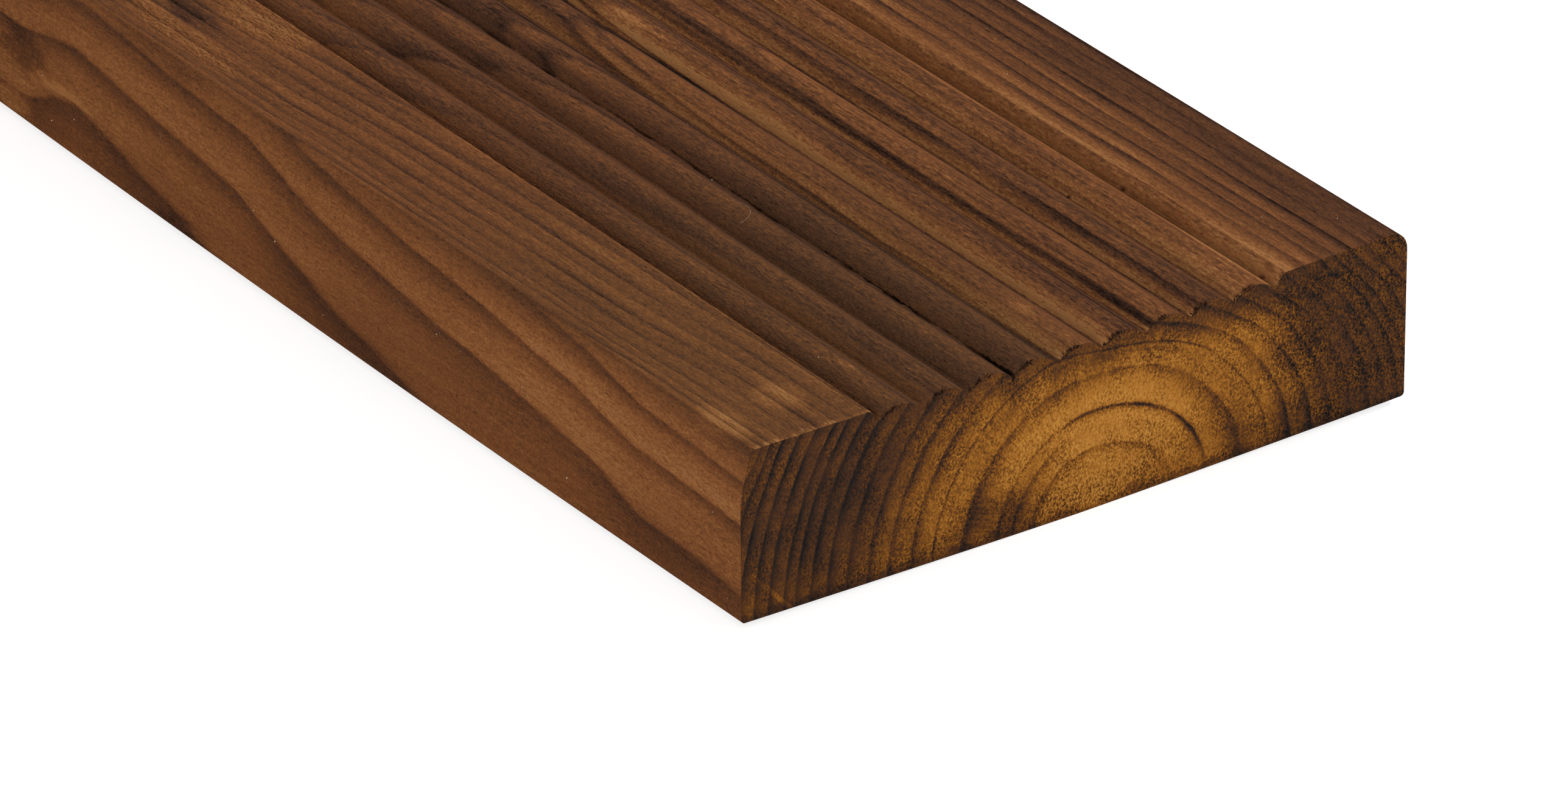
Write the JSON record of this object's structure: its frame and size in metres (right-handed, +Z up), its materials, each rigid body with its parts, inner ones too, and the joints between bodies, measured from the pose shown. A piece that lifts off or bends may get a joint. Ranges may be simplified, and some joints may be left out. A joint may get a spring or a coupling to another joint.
{
  "type": "reeded decking board",
  "caption": "Softwood decking board with a rounded-reed top face, flat margins, eased top edges and square-sawn ends.",
  "frame": {"origin": "middle of the underside, halfway along the board", "axes": "+X along the grain towards the sawn end seen in the picture, +Y across the board, +Z up out of the reeded face"},
  "size_m": [2.4, 0.12, 0.028],
  "materials": {
    "treated_softwood": "planed, matt"
  },
  "bodies": {
    "root": {"board": "treated_softwood"}
  },
  "joints": []
}
